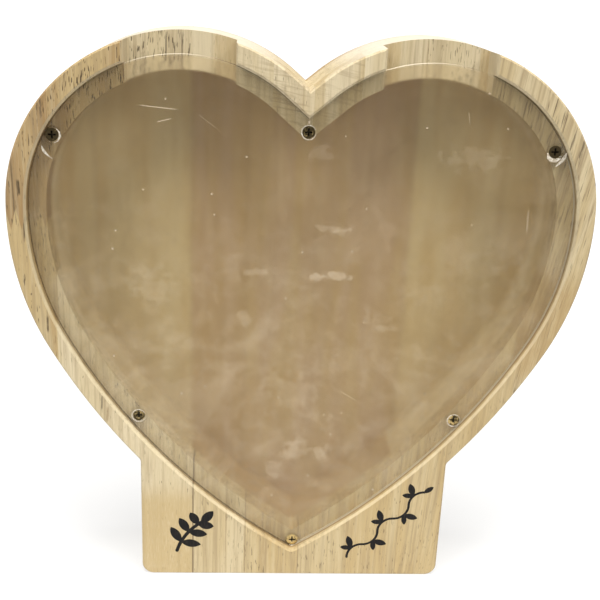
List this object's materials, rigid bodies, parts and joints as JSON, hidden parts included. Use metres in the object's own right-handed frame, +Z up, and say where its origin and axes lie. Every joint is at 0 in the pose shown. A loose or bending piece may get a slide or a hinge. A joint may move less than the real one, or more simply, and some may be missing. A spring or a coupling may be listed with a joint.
{
  "type": "heart-shaped wooden collecting box",
  "caption": "Heart-shaped wooden box on a foot, with a screwed clear front and slots in its lobes for dropping in caps or coins.",
  "frame": {"origin": "centre of the foot's underside, half way through the depth", "axes": "front faces -Y, +X to the right seen from the front, +Z up"},
  "size_m": [0.25, 0.043, 0.2518],
  "materials": {
    "front_wood": "sanded, unvarnished",
    "notch_wood": "sanded, unvarnished",
    "ring_wood": "sanded, unvarnished",
    "back_wood": "sanded, unvarnished",
    "clear_panel": "clear acrylic",
    "hazy_film": "thin hazy film",
    "brass_screw": "bright",
    "black_mark": "matt black, burnt in"
  },
  "bodies": {
    "case": {"front_bow_left_upper": "front_wood", "front_bow_left_lower": "front_wood", "front_shoulder_left": "front_wood", "front_flank_left": "front_wood", "foot_stave_left": "front_wood", "foot_stave_centre": "front_wood", "foot_stave_right": "front_wood", "front_flank_right": "front_wood", "front_shoulder_right": "front_wood", "front_bow_right": "front_wood", "notch_stave_outer_left": "notch_wood", "notch_stave_inner_left": "notch_wood", "notch_stave_inner_right": "notch_wood", "notch_stave_outer_right": "notch_wood", "ring_bow_left": "ring_wood", "ring_bow_right": "ring_wood", "ring_upper_outer_left": "ring_wood", "ring_lower_outer_left": "ring_wood", "ring_upper_inner_left": "ring_wood", "ring_lower_inner_left": "ring_wood", "ring_upper_inner_right": "ring_wood", "ring_lower_inner_right": "ring_wood", "ring_upper_outer_right": "ring_wood", "ring_lower_outer_right": "ring_wood", "back_stave_1": "back_wood", "back_stave_2": "back_wood", "back_stave_3": "back_wood", "back_stave_4": "back_wood", "back_stave_5": "back_wood", "back_stave_6": "back_wood", "back_stave_7": "back_wood", "sprig_mark": "black_mark", "vine_mark": "black_mark"},
    "front_panel": {"front_panel": "clear_panel", "protective_film": "hazy_film"},
    "screw_lobe_left": {"screw_lobe_left": "brass_screw"},
    "screw_lobe_right": {"screw_lobe_right": "brass_screw"},
    "screw_notch": {"screw_notch": "brass_screw"},
    "screw_flank_left": {"screw_flank_left": "brass_screw"},
    "screw_flank_right": {"screw_flank_right": "brass_screw"},
    "screw_tip": {"screw_tip": "brass_screw"}
  },
  "joints": [
    {"name": "front_panel_lift", "type": "slide", "parent": "case", "child": "front_panel", "axis": [0, -1, 0], "range_m": [0, 0.04]},
    {"name": "screw_lobe_left_out", "type": "slide", "parent": "front_panel", "child": "screw_lobe_left", "axis": [0, -1, 0], "range_m": [0, 0.014]},
    {"name": "screw_lobe_right_out", "type": "slide", "parent": "front_panel", "child": "screw_lobe_right", "axis": [0, -1, 0], "range_m": [0, 0.014]},
    {"name": "screw_notch_out", "type": "slide", "parent": "front_panel", "child": "screw_notch", "axis": [0, -1, 0], "range_m": [0, 0.014]},
    {"name": "screw_flank_left_out", "type": "slide", "parent": "front_panel", "child": "screw_flank_left", "axis": [0, -1, 0], "range_m": [0, 0.014]},
    {"name": "screw_flank_right_out", "type": "slide", "parent": "front_panel", "child": "screw_flank_right", "axis": [0, -1, 0], "range_m": [0, 0.014]},
    {"name": "screw_tip_out", "type": "slide", "parent": "front_panel", "child": "screw_tip", "axis": [0, -1, 0], "range_m": [0, 0.014]}
  ]
}
